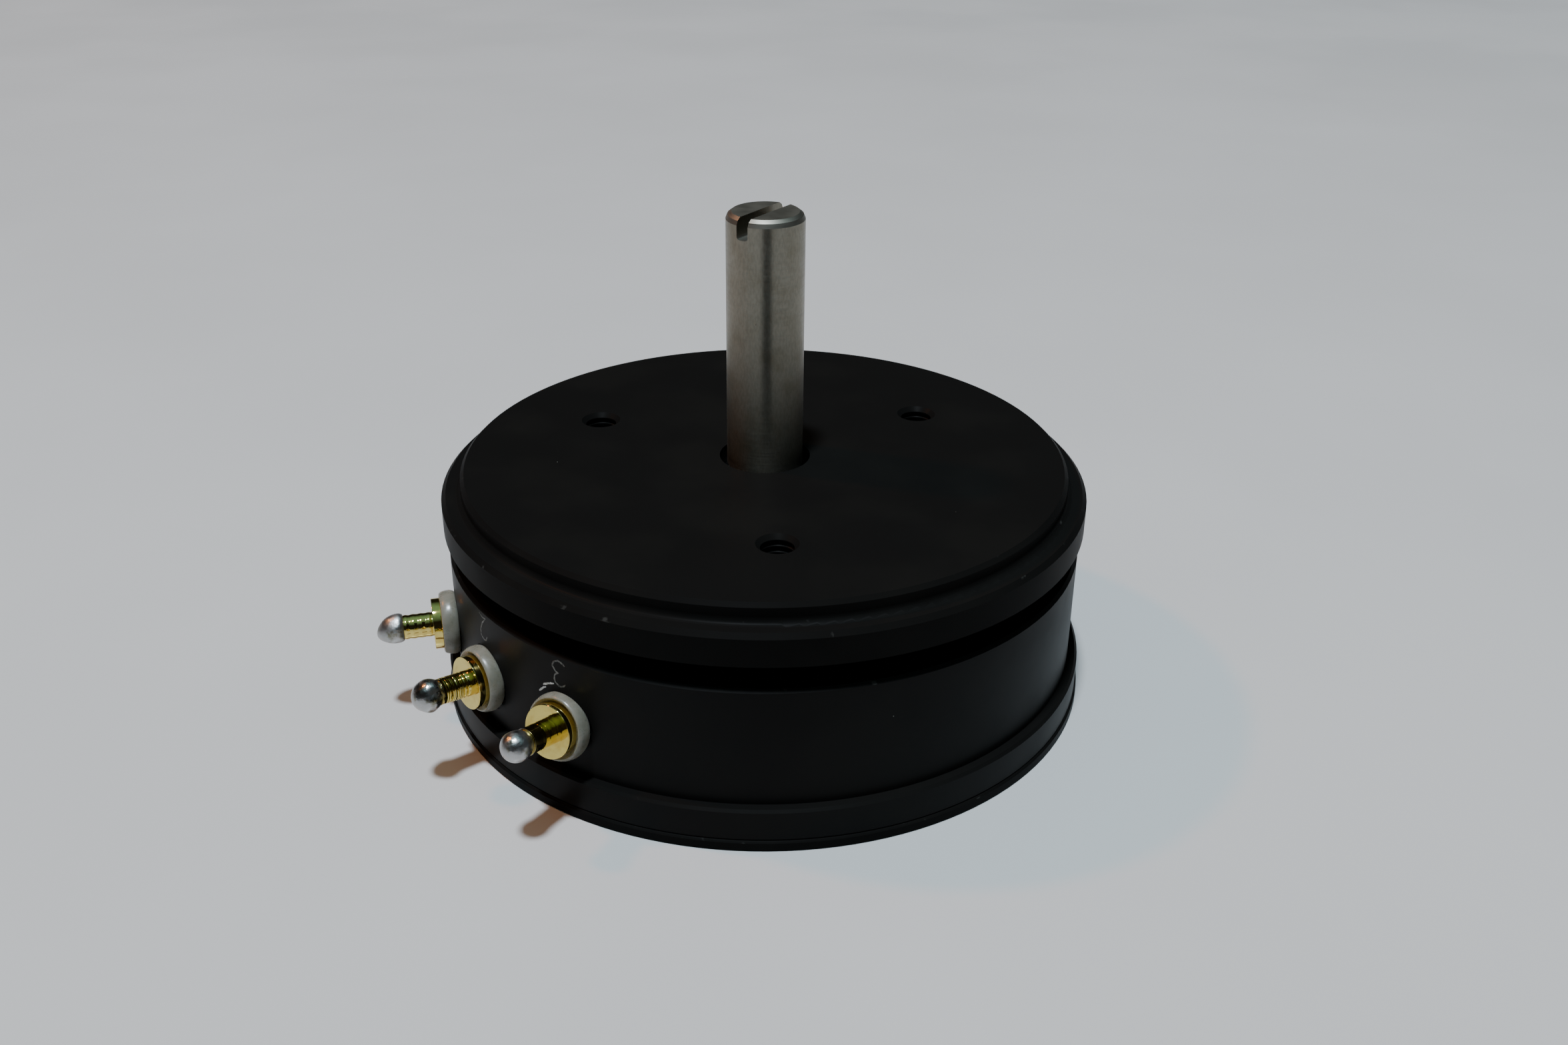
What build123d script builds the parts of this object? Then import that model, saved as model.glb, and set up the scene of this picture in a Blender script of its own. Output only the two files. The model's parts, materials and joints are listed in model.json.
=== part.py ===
from build123d import *
from math import cos, radians, sin
import os

# Servo-mount rotary position sensor: slotted 6 mm shaft, three turret terminals.
# Millimetres. The origin is the centre of the rear face, +Z runs to the free end of the shaft.

# Axial layout, measured up from the rear face
plate_top = 0.85
spigot_top = 2.3
shoulder = 3.4
groove_bottom = 12.85
groove_top = 14.85
flange_face = 17.35
body_height = 18.85
shaft_reach = 19.85
shaft_top = body_height + shaft_reach

# Outside radii
plate_radius = 26.2
ring_radius = 26.05
housing_radius = 25.25
flange_radius = 25.55
pilot_radius = 24.0
groove_radius = 23.0
register_radius = 24.4
shaft_radius = 3.0
journal_radius = 2.0
relief_radius = 2.8

# Edge breaks and clearances
pilot_chamfer = 0.3
flange_chamfer = 0.35
housing_chamfer = 0.25
edge_break = 0.1
foot_fillet = 0.5
slip = 0.02
overcut = 1.0

# Tapped M3 mounting holes in the front face
hole_count = 3
hole_circle = 15.35
first_hole = -90
thread_minor = 1.25
thread_major = 1.5
thread_pitch = 0.5
thread_turns = 9
thread_crest_share = 0.2
thread_root_start = 0.55
thread_root_end = 0.65
tap_mouth = 1.6

# Inside of the housing
cavity_radius = 22.6
ceiling = 11.1
post_circle = 20.4
post_radius = 2.3
shaft_bore = 3.6
circlip_bottom = 11.5
circlip_groove = 7.05
circlip_band = 0.9
circlip_opening = 3.0
circlip_opening_length = 4.0
circlip_ear_angle = 20
circlip_ear_offset = 0.2
circlip_ear_hole = 0.35

# Rear cover, its seal groove and the hub of the rear bearing
seal_groove = 21.9
seal_bottom = 1.1
seal_height = 0.75
spigot_inner = 20.9
cover_floor = 1.2
rear_hub_radius = 6.0
rear_hub_top = 5.2

# Cover screws, M2 countersunk and slotted
screw_radius = 1.0
screw_head = 1.9
screw_length = 7.5
screw_slot = 0.5
post_bore_depth = 6.0

# Element and its printed layers, on the ceiling of the cavity
element_inner = 9.5
element_outer = 17.8
element_face = 10.0
film = 0.1
track_inner, track_outer = 15.0, 17.0
collector_inner, collector_outer = 11.2, 13.2
track_gap = 16
element_screw_circle = 14.1
first_element_screw = 40
lead_half_width = 1.5
element_screw_radius = 0.6
element_screw_head = 0.75
element_screw_depth = 2.0

# Terminals, on radial axes through the housing wall; distances from the shaft axis.
# Each one leans from its seat as if bent while it was soldered: sideways by its turn, upwards by its lift.
terminal_height = 7.1
terminal_centre = -148.3
terminal_spacing = 20.5
terminal_turns = (0, 4.0, 1.0)
terminal_lifts = (0, 4.0, 11.0)
terminal_inner_end = 19.6
nut_inner, nut_outer = 21.3, 21.9
washer_outer = 22.4
insulator_seat = 25.05
insulator_face = 26.45
disc_face = 27.12
neck_end = 29.5
ball_end = 31.5
ball_radii = (1.26, 1.28, 1.18)
insulator_radius = 2.55
insulator_rounding = 0.45
disc_radius = 2.02
neck_radius = 0.98
neck_ring_count = 8
neck_ring_depth = 0.06
neck_ring_start = 0.75
neck_ring_half_width = 0.2
shank_radius = 0.83
barrel_radius = 1.9
washer_radius = 2.5
nut_radius = 1.7
wire_radius = 0.2
wire_circle = 17.5
wire_bend = 0.6

# Screwdriver slot across the free end of the shaft
slot_angle = 51
slot_width = 1.0
slot_depth = 1.6
slot_corner = 0.25
end_chamfer_length = 0.55
end_chamfer_width = 0.44
end_knee_length = 0.22
end_knee_width = 0.14
relief_height = 0.8
journal_clearance = 0.2

# Ball bearings: bottom, height, bore, outside, lands beside the races, ball radius
front_bearing = dict(z=12.5, height=5.0, bore=3.0, outside=6.5, land_in=4.1, land_out=5.5, ball=1.1)
rear_bearing = dict(z=1.5, height=4.0, bore=2.0, outside=4.5, land_in=2.8, land_out=3.7, ball=0.72)
ball_count = 7
race_gap = 0.06
cage_web = 0.2
cage_band_share = 0.18
cage_rise_share = 0.5
shield_recess = 0.1
shield_thickness = 0.25
shield_gap = 0.15
disc_spring_height = 0.5
disc_spring_sheet = 0.25
disc_spring_inner = 3.0
disc_spring_outer = 4.4

# Rotor, on the shaft inside the cavity
hub_bottom = 5.9
hub_step = 7.6
hub_top = 9.3
hub_radius = 5.2
hub_spigot = 4.6
spacer_radius = 3.8
set_screw_height = 6.75
set_screw_angles = (200, 320)
set_screw_radius = 0.8
set_screw_recess = 0.3
set_screw_hexagon = 0.45
set_screw_socket = 1.0
arm_top = 8.6
arm_width = 6.0
arm_disc = 8.0
arm_reach = 16.9
counterweight_reach = 11.0
arm_corner = 1.5
retainer_band = 1.2
retainer_sheet = 0.5
wiper_gap = 0.06
wiper_sheet = 0.12
finger_pad_start = -2.6
finger_pad_end = -0.6
finger_nose = 2.2
finger_tip = 2.7
finger_count = 4
finger_width = 0.3
pad_width = 1.4
rivet_offset = -1.9
rivet_radius = 0.4
rivet_head = 0.6
rivet_head_height = 0.25

os.makedirs("parts", exist_ok=True)


def save(part, name):
    """Label a finished piece and write its file."""
    part.label = name
    export_step(part, f"parts/{name}.step")


def flat_outline(plane, points):
    """A closed outline with straight sides, drawn on a plane."""
    with BuildSketch(plane) as outline:
        with BuildLine():
            Polyline(*points, close=True)
        make_face()
    return outline.sketch


def section(inner, outer, bottom, top):
    """Corners of a rectangular half section, as (radius, height) points."""
    return [(inner, bottom), (outer, bottom), (outer, top), (inner, top)]


def turned(points):
    """A piece turned about the shaft axis from (radius, height) points."""
    with BuildPart() as piece:
        revolve(flat_outline(Plane.XZ, points), axis=Axis.Z)
    return piece.part


def terminal_plane(azimuth, turn, lift):
    """Local X runs out along a terminal, equal to the seat's distance at the seat, and local Y runs up."""
    seat_x, seat_y = insulator_seat * cos(radians(azimuth)), insulator_seat * sin(radians(azimuth))
    out_x, out_y = cos(radians(azimuth + turn)), sin(radians(azimuth + turn))
    along = Vector(out_x * cos(radians(lift)), out_y * cos(radians(lift)), sin(radians(lift)))
    seat = Vector(seat_x, seat_y, terminal_height)
    return Plane(origin=seat - along * insulator_seat, x_dir=along, z_dir=(out_y, -out_x, 0))


def turned_on_terminal(plane, points):
    """A piece turned about a terminal's axis from (distance from the shaft, radius) points."""
    with BuildPart() as piece:
        revolve(flat_outline(plane, points), axis=Axis(origin=plane.origin, direction=plane.x_dir))
    return piece.part


# ---------------------------------------------------------------- casing


def tapped_hole():
    """A blind tapped hole on the shaft axis, with its thread as V grooves below a countersink."""
    thread_top = body_height - (tap_mouth - thread_minor)
    points = [(0, body_height), (tap_mouth, body_height), (thread_minor, thread_top)]
    for turn in range(thread_turns):
        start = thread_top - turn * thread_pitch
        points.append((thread_minor, start - thread_crest_share * thread_pitch))
        points.append((thread_major, start - thread_root_start * thread_pitch))
        points.append((thread_major, start - thread_root_end * thread_pitch))
        points.append((thread_minor, start - thread_pitch))
    drill_end = thread_top - (thread_turns + 1) * thread_pitch
    points.append((thread_minor, drill_end))
    points.append((0, drill_end - thread_minor / 2))
    return turned(points)


def terminal_seat(plane):
    """The flat seats outside and inside, and the through hole, of one terminal insulator."""
    inner, outer = cavity_radius - overcut, housing_radius + overcut
    hole, recess = barrel_radius + slip, insulator_radius + slip
    spot_face = washer_radius + slip
    points = [(inner, 0), (inner, spot_face), (washer_outer, spot_face), (washer_outer, hole)]
    points += [(insulator_seat, hole), (insulator_seat, recess), (outer, recess), (outer, 0)]
    return turned_on_terminal(plane, points)


def screw_outline(clearance, bottom, top):
    """Half section of a countersunk screw, larger all round by a clearance."""
    head, shank = screw_head + clearance, screw_radius + clearance
    cone_top = bottom + edge_break + head - shank
    points = [(0, bottom), (head, bottom), (head, bottom + edge_break), (shank, cone_top)]
    return points + [(shank, top), (0, top)]


def countersunk_screw():
    """A slotted countersunk screw on the shaft axis, its head in the rear face."""
    with BuildPart() as screw:
        revolve(flat_outline(Plane.XZ, screw_outline(-slip, slip, screw_length)), axis=Axis.Z)
        with BuildSketch(Plane.XY):
            Rectangle(4 * screw_head, screw_slot)
        extrude(amount=screw_slot, mode=Mode.SUBTRACT)
    return screw.part


terminal_planes = [
    terminal_plane(terminal_centre - step * terminal_spacing, turn, lift)
    for step, turn, lift in zip((1, 0, -1), terminal_turns, terminal_lifts)
]
front_top = front_bearing["z"] + front_bearing["height"]

housing_outline = [
    (shaft_bore, body_height),
    (pilot_radius - pilot_chamfer, body_height),
    (pilot_radius, body_height - pilot_chamfer),
    (pilot_radius, flange_face),
    (flange_radius - flange_chamfer, flange_face),
    (flange_radius, flange_face - flange_chamfer),
    (flange_radius, groove_top),
    (groove_radius, groove_top),
    (groove_radius, groove_bottom),
    (housing_radius - housing_chamfer, groove_bottom),
    (housing_radius, groove_bottom - housing_chamfer),
    (housing_radius, shoulder),
    (register_radius, shoulder),
    (register_radius, plate_top),
    (cavity_radius, plate_top),
    (cavity_radius, ceiling),
    (front_bearing["outside"], ceiling),
    (front_bearing["outside"], circlip_bottom),
    (circlip_groove, circlip_bottom),
    (circlip_groove, front_bearing["z"]),
    (front_bearing["outside"], front_bearing["z"]),
    (front_bearing["outside"], front_top),
    (shaft_bore, front_top),
]

with BuildPart() as front_housing:
    revolve(flat_outline(Plane.XZ, housing_outline), axis=Axis.Z)
    # concave radius where the pilot meets the flange face
    pilot_foot = front_housing.edges().filter_by(
        lambda edge: edge.geom_type == GeomType.CIRCLE
        and abs(edge.radius - pilot_radius) < slip
        and abs(edge.center().Z - flange_face) < slip
    )
    fillet(pilot_foot, radius=foot_fillet)
    # posts that take the cover screws
    with BuildSketch(Plane.XY.offset(spigot_top)):
        with PolarLocations(post_circle, hole_count, start_angle=first_hole):
            Circle(post_radius)
    extrude(amount=ceiling - spigot_top)
    with BuildSketch(Plane.XY.offset(spigot_top)):
        with PolarLocations(post_circle, hole_count, start_angle=first_hole):
            Circle(screw_radius)
    extrude(amount=post_bore_depth, mode=Mode.SUBTRACT)
    # holes for the screws that hold the element to the ceiling
    with BuildSketch(Plane.XY.offset(ceiling)):
        with PolarLocations(element_screw_circle, hole_count, start_angle=first_element_screw):
            Circle(element_screw_radius + slip)
    extrude(amount=element_screw_depth + slip, mode=Mode.SUBTRACT)
    with PolarLocations(hole_circle, hole_count, start_angle=first_hole):
        add(tapped_hole(), mode=Mode.SUBTRACT)
    for plane in terminal_planes:
        add(terminal_seat(plane), mode=Mode.SUBTRACT)
save(front_housing.part, "front_housing")

cover_ring_outline = [
    (register_radius, plate_top),
    (ring_radius - edge_break, plate_top),
    (ring_radius, plate_top + edge_break),
    (ring_radius, shoulder - 2 * edge_break),
    (ring_radius - 2 * edge_break, shoulder),
    (register_radius, shoulder),
]
save(turned(cover_ring_outline), "cover_ring")

spigot_radius = cavity_radius - slip
bearing_floor = rear_bearing["z"] - disc_spring_height
rear_cover_outline = [
    (0, 0),
    (plate_radius - edge_break, 0),
    (plate_radius, edge_break),
    (plate_radius, plate_top - 1.5 * edge_break),
    (plate_radius - 1.5 * edge_break, plate_top),
    (spigot_radius, plate_top),
    (spigot_radius, seal_bottom),
    (seal_groove, seal_bottom),
    (seal_groove, seal_bottom + seal_height),
    (spigot_radius, seal_bottom + seal_height),
    (spigot_radius, spigot_top),
    (spigot_inner, spigot_top),
    (spigot_inner, cover_floor),
    (rear_hub_radius, cover_floor),
    (rear_hub_radius, rear_hub_top),
    (rear_bearing["outside"], rear_hub_top),
    (rear_bearing["outside"], bearing_floor),
    (0, bearing_floor),
]
with BuildPart() as rear_cover:
    revolve(flat_outline(Plane.XZ, rear_cover_outline), axis=Axis.Z)
    # pads under the posts, bored and countersunk for the cover screws
    with BuildSketch(Plane.XY.offset(plate_top)):
        with PolarLocations(post_circle, hole_count, start_angle=first_hole):
            Circle(seal_groove - post_circle)
    extrude(amount=spigot_top - plate_top)
    with PolarLocations(post_circle, hole_count, start_angle=first_hole):
        add(turned(screw_outline(slip, 0, spigot_top)), mode=Mode.SUBTRACT)
save(rear_cover.part, "rear_cover")

with BuildPart() as cover_seal:
    with BuildSketch(Plane.XZ):
        with Locations(((seal_groove + cavity_radius) / 2, seal_bottom + seal_height / 2)):
            Circle((cavity_radius - seal_groove) / 2 - slip)
    revolve(axis=Axis.Z)
save(cover_seal.part, "cover_seal")

with BuildPart() as cover_screws:
    with PolarLocations(post_circle, hole_count, start_angle=first_hole):
        add(countersunk_screw())
save(cover_screws.part, "cover_screws")

# ---------------------------------------------------------------- ball bearings


def pitch_radius(bearing):
    """Radius of the circle that the balls run on."""
    return (bearing["land_in"] + bearing["land_out"]) / 2


def middle(bearing):
    """Height of the middle plane of a bearing."""
    return bearing["z"] + bearing["height"] / 2


def race_ring(bearing, inner, outer):
    """One ring of a bearing, with a round race for the balls."""
    with BuildPart() as ring:
        with BuildSketch(Plane.XZ):
            with Locations(((inner + outer) / 2, middle(bearing))):
                Rectangle(outer - inner, bearing["height"])
            with Locations((pitch_radius(bearing), middle(bearing))):
                Circle(bearing["ball"] + race_gap, mode=Mode.SUBTRACT)
        revolve(axis=Axis.Z)
        chamfer(ring.edges().group_by(Axis.Z)[-1], edge_break)
        chamfer(ring.edges().group_by(Axis.Z)[0], edge_break)
    return ring.part


def ball_group(bearing, radius):
    """Spheres of one radius at every ball place."""
    with BuildPart() as balls:
        with Locations((0, 0, middle(bearing))):
            with PolarLocations(pitch_radius(bearing), ball_count):
                Sphere(radius)
    return balls.part


def cage(bearing):
    """A crown cage: a band with open pockets, between the two lands."""
    half_band = cage_band_share * (bearing["land_out"] - bearing["land_in"])
    bottom = middle(bearing) - bearing["ball"] - cage_web
    top = middle(bearing) + cage_rise_share * bearing["ball"]
    pitch = pitch_radius(bearing)
    with BuildPart() as crown:
        band = section(pitch - half_band, pitch + half_band, bottom, top)
        revolve(flat_outline(Plane.XZ, band), axis=Axis.Z)
        add(ball_group(bearing, bearing["ball"] + race_gap), mode=Mode.SUBTRACT)
    return crown.part


def shields(bearing):
    """The two thin washers that close a bearing, held in its outer ring."""
    inner, outer = bearing["land_in"] + shield_gap, bearing["land_out"]
    low = bearing["z"] + shield_recess
    high = bearing["z"] + bearing["height"] - shield_recess - shield_thickness
    with BuildPart() as pair:
        for bottom in (low, high):
            washer = section(inner, outer, bottom, bottom + shield_thickness)
            revolve(flat_outline(Plane.XZ, washer), axis=Axis.Z)
    return pair.part


for end, bearing in (("front", front_bearing), ("rear", rear_bearing)):
    save(race_ring(bearing, bearing["land_out"], bearing["outside"]), f"{end}_bearing_outer_ring")
    save(race_ring(bearing, bearing["bore"], bearing["land_in"]), f"{end}_bearing_inner_ring")
    save(ball_group(bearing, bearing["ball"]), f"{end}_bearing_balls")
    save(cage(bearing), f"{end}_bearing_cage")
    save(shields(bearing), f"{end}_bearing_shields")

with BuildPart() as bearing_circlip:
    with BuildSketch(Plane.XY.offset(circlip_bottom)):
        Circle(circlip_groove)
        Circle(front_bearing["outside"] - circlip_band, mode=Mode.SUBTRACT)
        with Locations((front_bearing["outside"], 0)):
            Rectangle(circlip_opening_length, circlip_opening, mode=Mode.SUBTRACT)
        ear_circle = front_bearing["outside"] - circlip_ear_offset
        with PolarLocations(ear_circle, 2, -circlip_ear_angle, 2 * circlip_ear_angle, endpoint=True):
            Circle(circlip_ear_hole, mode=Mode.SUBTRACT)
    extrude(amount=front_bearing["z"] - circlip_bottom)
save(bearing_circlip.part, "bearing_circlip")

# a coned disc spring that preloads the rear bearing
disc_spring_outline = [
    (disc_spring_inner, bearing_floor),
    (disc_spring_outer, rear_bearing["z"] - disc_spring_sheet),
    (disc_spring_outer, rear_bearing["z"]),
    (disc_spring_inner, bearing_floor + disc_spring_sheet),
]
save(turned(disc_spring_outline), "preload_disc_spring")

# ---------------------------------------------------------------- element


def film_sector(inner, outer, start, end):
    """A printed layer on the underside of the element, between two azimuths."""
    sweep_angle = end - start
    with BuildPart() as layer:
        with BuildSketch(Plane.XY.offset(element_face - film)) as shape:
            with BuildLine():
                outer_arc = CenterArc((0, 0), outer, start, sweep_angle)
                inner_arc = CenterArc((0, 0), inner, start, sweep_angle)
                Line(outer_arc @ 0, inner_arc @ 0)
                Line(outer_arc @ 1, inner_arc @ 1)
            make_face()
        extrude(amount=film)
    return layer.part


with BuildPart() as element_substrate:
    revolve(flat_outline(Plane.XZ, section(element_inner, element_outer, element_face, ceiling)), axis=Axis.Z)
    with BuildSketch(Plane.XY.offset(element_face)):
        with PolarLocations(element_screw_circle, hole_count, start_angle=first_element_screw):
            Circle(element_screw_radius + slip)
    extrude(amount=ceiling - element_face, mode=Mode.SUBTRACT)
save(element_substrate.part, "element_substrate")

track_start = terminal_centre + track_gap / 2
track_end = terminal_centre - track_gap / 2
save(film_sector(track_inner, track_outer, track_start, track_end + 360), "resistive_track")
save(turned(section(collector_inner, collector_outer, element_face - film, element_face)), "collector_track")

# conductors from the wire joints to the two track ends and to the collector
with BuildPart() as end_conductors:
    for side in (-1, 1):
        end_azimuth = terminal_centre + side * track_gap / 2
        wire_azimuth = terminal_centre + side * terminal_spacing
        low, high = sorted((end_azimuth, wire_azimuth + side * lead_half_width))
        add(film_sector(track_outer, element_outer, low, high))
    centre_start = terminal_centre - lead_half_width
    add(film_sector(collector_outer, element_outer, centre_start, terminal_centre + lead_half_width))
save(end_conductors.part, "element_conductors")

element_screw_outline = [
    (0, element_face - element_screw_head),
    (element_screw_head, element_face - element_screw_head),
    (element_screw_head, element_face),
    (element_screw_radius, element_face),
    (element_screw_radius, ceiling + element_screw_depth),
    (0, ceiling + element_screw_depth),
]
with BuildPart() as element_screws:
    with PolarLocations(element_screw_circle, hole_count, start_angle=first_element_screw):
        add(turned(element_screw_outline))
save(element_screws.part, "element_screws")

# ---------------------------------------------------------------- terminals


def insulator(plane):
    """A flanged bush that carries the terminal through the wall, its front edge rounded."""
    bore = shank_radius + slip
    bush_end = washer_outer
    points = [
        (bush_end, bore),
        (insulator_face, bore),
        (insulator_face, insulator_radius),
        (insulator_seat, insulator_radius),
        (insulator_seat, barrel_radius),
        (bush_end, barrel_radius),
    ]
    with BuildPart() as bush:
        revolve(flat_outline(plane, points), axis=Axis(origin=plane.origin, direction=plane.x_dir))
        rim = bush.edges().filter_by(GeomType.CIRCLE).sort_by(lambda edge: edge.radius)[-2:]
        front_rim = rim.sort_by(lambda edge: plane.to_local_coords(edge.center()).X)[-1]
        fillet(front_rim, radius=insulator_rounding)
    return bush.part


def turret(plane):
    """A turned terminal: shank, seating disc and a neck with fine tool rings."""
    points = [(terminal_inner_end, 0), (terminal_inner_end, shank_radius), (insulator_face, shank_radius)]
    points += [(insulator_face, disc_radius - edge_break / 2)]
    points += [(insulator_face + edge_break / 2, disc_radius), (disc_face - edge_break / 2, disc_radius)]
    points += [(disc_face, disc_radius - edge_break / 2), (disc_face, neck_radius)]
    ring_pitch = (neck_end - disc_face) / (neck_ring_count + 0.5)
    for ring in range(neck_ring_count):
        groove = disc_face + (ring + neck_ring_start) * ring_pitch
        lip = neck_ring_half_width * ring_pitch
        points += [(groove - lip, neck_radius), (groove, neck_radius - neck_ring_depth)]
        points += [(groove + lip, neck_radius)]
    points += [(neck_end, neck_radius), (neck_end, 0)]
    return turned_on_terminal(plane, points)


def solder_ball(plane, ball_radius):
    """A bead of solder on the end of a neck, flat where it meets the neck."""
    ball_centre = ball_end - ball_radius
    with BuildPart() as bead:
        with BuildSketch(plane):
            with Locations((ball_centre, 0)):
                Circle(ball_radius)
            with Locations((ball_centre, -ball_radius)):
                Rectangle(2 * ball_radius, 2 * ball_radius, mode=Mode.SUBTRACT)
            with Locations((neck_end - ball_radius, 0)):
                Rectangle(2 * ball_radius, 4 * ball_radius, mode=Mode.SUBTRACT)
        revolve(axis=Axis(origin=plane.origin, direction=plane.x_dir))
    return bead.part


def lead_wire(plane):
    """Bare wire from a terminal's inner end, turned up to its conductor on the element."""
    start = plane.from_local_coords(Vector(terminal_inner_end, 0))
    bend = plane.from_local_coords(Vector(wire_circle, 0))
    with BuildPart() as wire:
        with BuildLine() as route:
            FilletPolyline(start, bend, (bend.X, bend.Y, element_face - film), radius=wire_bend)
        with BuildSketch(Plane(origin=route.line @ 0, z_dir=route.line % 0)):
            Circle(wire_radius)
        sweep(path=route.line)
    return wire.part


for number, (plane, ball_radius) in enumerate(zip(terminal_planes, ball_radii), start=1):
    save(insulator(plane), f"terminal_{number}_insulator")
    save(turret(plane), f"terminal_{number}_turret")
    save(solder_ball(plane, ball_radius), f"terminal_{number}_solder")
    washer = section(nut_outer, washer_outer, shank_radius + slip, washer_radius)
    save(turned_on_terminal(plane, washer), f"terminal_{number}_washer")
    nut = section(nut_inner, nut_outer, shank_radius, nut_radius)
    save(turned_on_terminal(plane, nut), f"terminal_{number}_push_nut")
    save(lead_wire(plane), f"terminal_{number}_wire")

# ---------------------------------------------------------------- rotor

journal_bottom = rear_bearing["z"] + journal_clearance
journal_top = rear_bearing["z"] + rear_bearing["height"]
shaft_outline = [
    (0, journal_bottom),
    (journal_radius - edge_break, journal_bottom),
    (journal_radius, journal_bottom + edge_break),
    (journal_radius, journal_top),
    (shaft_radius, journal_top),
    (shaft_radius, front_top),
    (relief_radius, front_top),
    (relief_radius, front_top + relief_height),
    (shaft_radius, front_top + relief_height),
    (shaft_radius, shaft_top - end_chamfer_length),
    (shaft_radius - end_knee_width, shaft_top - end_knee_length),
    (shaft_radius - end_chamfer_width, shaft_top),
    (0, shaft_top),
]
slot_x, slot_y = cos(radians(slot_angle)), sin(radians(slot_angle))
slot_plane = Plane(origin=(0, 0, shaft_top), x_dir=(-slot_y, slot_x, 0), z_dir=(slot_x, slot_y, 0))
with BuildPart() as shaft:
    revolve(flat_outline(Plane.XZ, shaft_outline), axis=Axis.Z)
    with BuildSketch(slot_plane) as slot_section:
        Rectangle(slot_width, 2 * slot_depth)
        fillet(slot_section.vertices(), radius=slot_corner)
    extrude(amount=2 * shaft_radius, both=True, mode=Mode.SUBTRACT)
save(shaft.part, "shaft")

hub_outline = [
    (shaft_radius, hub_bottom),
    (hub_radius, hub_bottom),
    (hub_radius, hub_step),
    (hub_spigot, hub_step),
    (hub_spigot, hub_top),
    (shaft_radius, hub_top),
]


def set_screw_plane(azimuth):
    """A plane across a set screw, with its normal pointing out from the shaft."""
    return Plane(origin=(0, 0, set_screw_height), z_dir=(cos(radians(azimuth)), sin(radians(azimuth)), 0))


with BuildPart() as rotor_hub:
    revolve(flat_outline(Plane.XZ, hub_outline), axis=Axis.Z)
    for azimuth in set_screw_angles:
        with BuildSketch(set_screw_plane(azimuth)):
            Circle(set_screw_radius)
        extrude(amount=hub_radius + overcut, mode=Mode.SUBTRACT)
save(rotor_hub.part, "rotor_hub")

with BuildPart() as hub_set_screws:
    for azimuth in set_screw_angles:
        with BuildSketch(set_screw_plane(azimuth).offset(shaft_radius + slip)):
            Circle(set_screw_radius - slip)
        extrude(amount=hub_radius - shaft_radius - set_screw_recess)
        with BuildSketch(set_screw_plane(azimuth).offset(hub_radius - set_screw_socket)):
            RegularPolygon(set_screw_hexagon, 6)
        extrude(amount=set_screw_socket, mode=Mode.SUBTRACT)
save(hub_set_screws.part, "hub_set_screws")

save(turned(section(shaft_radius, spacer_radius, hub_top, front_bearing["z"])), "shaft_spacer")

# moulded carrier: a disc with an arm out to the tracks and a counterweight opposite
rivet_circle = (track_inner + collector_outer) / 2
with BuildPart() as wiper_carrier:
    with BuildSketch(Plane.XY.offset(hub_step)):
        Circle(arm_disc)
        with Locations((0, (arm_reach - counterweight_reach) / 2)):
            RectangleRounded(arm_width, arm_reach + counterweight_reach, arm_corner)
        Circle(hub_spigot, mode=Mode.SUBTRACT)
        with Locations((rivet_offset, rivet_circle)):
            Circle(rivet_radius, mode=Mode.SUBTRACT)
    extrude(amount=arm_top - hub_step)
save(wiper_carrier.part, "wiper_carrier")

# a push-on ring that holds the carrier down on the hub
retainer_outline = section(hub_spigot, hub_spigot + retainer_band, arm_top, arm_top + retainer_sheet)
save(turned(retainer_outline), "carrier_retainer")


def finger_profile():
    """Side view of one spring finger: pad, rise, rounded contact nose."""
    nose_height = element_face - film - wiper_gap
    low = [(finger_pad_start, arm_top), (finger_pad_end, arm_top), (finger_nose, nose_height - wiper_sheet)]
    low += [(finger_tip, nose_height - 3 * wiper_sheet)]
    high = [(finger_tip + wiper_sheet, nose_height - 2 * wiper_sheet), (finger_nose, nose_height)]
    high += [(finger_pad_end - wiper_sheet, arm_top + wiper_sheet), (finger_pad_start, arm_top + wiper_sheet)]
    return low + high


def wiper(track_low, track_high):
    """A strip of spring fingers across one track, joined by a pad on the arm."""
    span = track_high - track_low - 2 * finger_width
    pitch = span / (finger_count - 1)
    with BuildPart() as comb:
        for finger in range(finger_count):
            reach = track_low + finger_width + finger * pitch
            side_plane = Plane(origin=(0, reach + finger_width / 2, 0), x_dir=(1, 0, 0), z_dir=(0, -1, 0))
            extrude(flat_outline(side_plane, finger_profile()), amount=finger_width)
        with BuildSketch(Plane.XY.offset(arm_top)):
            with Locations((rivet_offset, (track_low + track_high) / 2)):
                Rectangle(pad_width, span + finger_width)
        extrude(amount=wiper_sheet)
    return comb.part


save(wiper(track_inner, track_outer), "track_wiper")
save(wiper(collector_inner, collector_outer), "collector_wiper")

# the jumper that joins the two wipers, and the rivet that clamps it to the arm
with BuildPart() as wiper_jumper:
    with BuildSketch(Plane.XY.offset(arm_top)):
        with Locations((rivet_offset, rivet_circle)):
            Rectangle(pad_width, track_inner - collector_outer + finger_width)
        with Locations((rivet_offset, rivet_circle)):
            Circle(rivet_radius, mode=Mode.SUBTRACT)
    extrude(amount=wiper_sheet)
save(wiper_jumper.part, "wiper_jumper")

with BuildPart() as wiper_rivet:
    with BuildSketch(Plane.XY.offset(hub_step - rivet_head_height)):
        with Locations((rivet_offset, rivet_circle)):
            Circle(rivet_head)
    extrude(amount=rivet_head_height)
    with BuildSketch(Plane.XY.offset(hub_step)):
        with Locations((rivet_offset, rivet_circle)):
            Circle(rivet_radius)
    extrude(amount=arm_top + wiper_sheet - hub_step)
    with BuildSketch(Plane.XY.offset(arm_top + wiper_sheet)):
        with Locations((rivet_offset, rivet_circle)):
            Circle(rivet_head)
    extrude(amount=rivet_head_height)
save(wiper_rivet.part, "wiper_rivet")
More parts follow.
